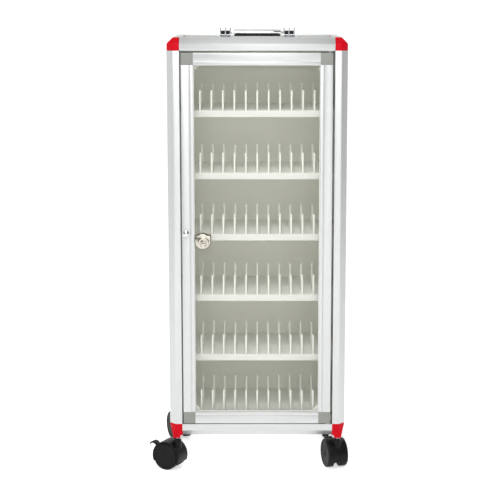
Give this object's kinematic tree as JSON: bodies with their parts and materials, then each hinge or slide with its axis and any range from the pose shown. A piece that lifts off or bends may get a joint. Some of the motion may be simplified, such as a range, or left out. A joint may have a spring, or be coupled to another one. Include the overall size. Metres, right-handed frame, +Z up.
{
  "type": "cell phone locker box",
  "caption": "Upright phone cabinet on casters: aluminium edge frame, red corner caps, locking glass door on the right, rows of upright dividers, fold-down handle.",
  "frame": {"origin": "on the floor, midway between the four caster stems", "axes": "+X to the right of someone facing the door, +Y towards the back, +Z up"},
  "size_m": [0.3689, 0.2435, 0.806],
  "materials": {
    "frame_aluminium": "satin silver-white anodised extrusion",
    "door_aluminium": "satin silver-white anodised extrusion",
    "corner_red": "glossy red moulded plastic",
    "panel_white": "smooth white laminated sheet",
    "shelf_white": "white melamine-faced board",
    "divider_white": "fine satin white moulded plastic",
    "block_grey": "fine-textured mid grey moulded plastic",
    "pane_glass": "clear float glass",
    "seal_white": "soft white glazing seal",
    "pad_white": "white moulded plastic",
    "bright_chrome": "bright nickel-chrome plating",
    "lock_nickel": "satin nickel plating on die-cast zinc",
    "steel_zinc": "bright zinc-plated steel",
    "bush_nylon": "natural nylon",
    "bracket_aluminium": "mill-finish aluminium angle",
    "hood_black": "satin black moulded nylon",
    "wheel_black": "semi-matte black hard plastic"
  },
  "bodies": {
    "cabinet": {"post_front_left": "frame_aluminium", "post_front_right": "frame_aluminium", "post_rear_left": "frame_aluminium", "post_rear_right": "frame_aluminium", "rail_top_front": "frame_aluminium", "rail_top_rear": "frame_aluminium", "rail_top_left": "frame_aluminium", "rail_top_right": "frame_aluminium", "rail_bottom_front": "frame_aluminium", "rail_bottom_rear": "frame_aluminium", "rail_bottom_left": "frame_aluminium", "rail_bottom_right": "frame_aluminium", "corner_caps_top": "corner_red", "corner_caps_bottom": "corner_red", "panel_left": "panel_white", "panel_right": "panel_white", "panel_back": "panel_white", "panel_top": "panel_white", "floor_board": "shelf_white", "shelf_1": "shelf_white", "shelf_2": "shelf_white", "shelf_3": "shelf_white", "shelf_4": "shelf_white", "shelf_5": "shelf_white", "dividers_1": "divider_white", "dividers_2": "divider_white", "dividers_3": "divider_white", "dividers_4": "divider_white", "dividers_5": "divider_white", "dividers_6": "divider_white", "shelf_brackets": "bracket_aluminium", "handle_brackets": "bright_chrome", "handle_screws": "steel_zinc", "hinge_bushes": "bush_nylon", "caster_stems": "steel_zinc"},
    "door": {"door_stile_left": "door_aluminium", "door_stile_right": "door_aluminium", "door_rail_top": "door_aluminium", "door_rail_bottom": "door_aluminium", "door_corner_blocks": "block_grey", "door_glass": "pane_glass", "door_gasket": "seal_white", "door_glass_pads": "pad_white", "door_knob": "bright_chrome", "hinge_pins": "steel_zinc", "lock_face": "lock_nickel", "lock_case": "lock_nickel"},
    "lock_plug": {"lock_plug": "lock_nickel"},
    "lock_bolt": {"lock_bolt": "steel_zinc"},
    "handle": {"handle_grip": "bright_chrome"},
    "brake_front_left": {"brake_lever_fl": "hood_black"},
    "brake_front_right": {"brake_lever_fr": "hood_black"},
    "caster_front_left": {"caster_hood_fl": "hood_black"},
    "wheels_front_left": {"caster_wheels_fl": "wheel_black"},
    "caster_front_right": {"caster_hood_fr": "hood_black"},
    "wheels_front_right": {"caster_wheels_fr": "wheel_black"},
    "caster_rear_left": {"caster_hood_rl": "hood_black"},
    "wheels_rear_left": {"caster_wheels_rl": "wheel_black"},
    "caster_rear_right": {"caster_hood_rr": "hood_black"},
    "wheels_rear_right": {"caster_wheels_rr": "wheel_black"}
  },
  "joints": [
    {"name": "door_hinge", "type": "hinge", "parent": "cabinet", "child": "door", "pos_m": [0.1283, -0.095, 0.4285], "axis": [0, 0, 1], "range_deg": [0, 110]},
    {"name": "lock_turn", "type": "hinge", "parent": "door", "child": "lock_plug", "pos_m": [-0.0967, -0.0905, 0.4258], "axis": [0, -1, 0], "range_deg": [0, 90]},
    {"name": "bolt_slide", "type": "slide", "parent": "door", "child": "lock_bolt", "axis": [-1, 0, 0], "range_m": [0, 0.0085]},
    {"name": "handle_lift", "type": "hinge", "parent": "cabinet", "child": "handle", "pos_m": [0, 0, 0.7973], "axis": [-1, 0, 0], "range_deg": [0, 90]},
    {"name": "swivel_front_left", "type": "hinge", "parent": "cabinet", "child": "caster_front_left", "pos_m": [-0.1475, -0.0875, 0.05], "axis": [0, 0, 1], "continuous": true},
    {"name": "spin_front_left", "type": "hinge", "parent": "caster_front_left", "child": "wheels_front_left", "pos_m": [-0.16149, -0.07974, 0.025], "axis": [-0.4848, -0.8746, 0], "continuous": true},
    {"name": "swivel_front_right", "type": "hinge", "parent": "cabinet", "child": "caster_front_right", "pos_m": [0.1475, -0.0875, 0.05], "axis": [0, 0, 1], "continuous": true},
    {"name": "spin_front_right", "type": "hinge", "parent": "caster_front_right", "child": "wheels_front_right", "pos_m": [0.14309, -0.07212, 0.025], "axis": [-0.9613, -0.2756, 0], "continuous": true},
    {"name": "swivel_rear_left", "type": "hinge", "parent": "cabinet", "child": "caster_rear_left", "pos_m": [-0.1475, 0.0875, 0.05], "axis": [0, 0, 1], "continuous": true},
    {"name": "spin_rear_left", "type": "hinge", "parent": "caster_rear_left", "child": "wheels_rear_left", "pos_m": [-0.15375, 0.10223, 0.025], "axis": [-0.9205, -0.3907, 0], "continuous": true},
    {"name": "swivel_rear_right", "type": "hinge", "parent": "cabinet", "child": "caster_rear_right", "pos_m": [0.1475, 0.0875, 0.05], "axis": [0, 0, 1], "continuous": true},
    {"name": "spin_rear_right", "type": "hinge", "parent": "caster_rear_right", "child": "wheels_rear_right", "pos_m": [0.1475, 0.1035, 0.025], "axis": [-1, 0, 0], "continuous": true},
    {"name": "brake_front_left_press", "type": "hinge", "parent": "caster_front_left", "child": "brake_front_left", "pos_m": [-0.17592, -0.07174, 0.038], "axis": [-0.4848, -0.8746, 0], "range_deg": [0, 18]},
    {"name": "brake_front_right_press", "type": "hinge", "parent": "caster_front_right", "child": "brake_front_right", "pos_m": [0.13854, -0.05626, 0.038], "axis": [-0.9613, -0.2756, 0], "range_deg": [0, 18]}
  ],
  "couplings": [
    {"joint": "bolt_slide", "follows": "lock_turn", "m_per_rad": 0.0054}
  ]
}
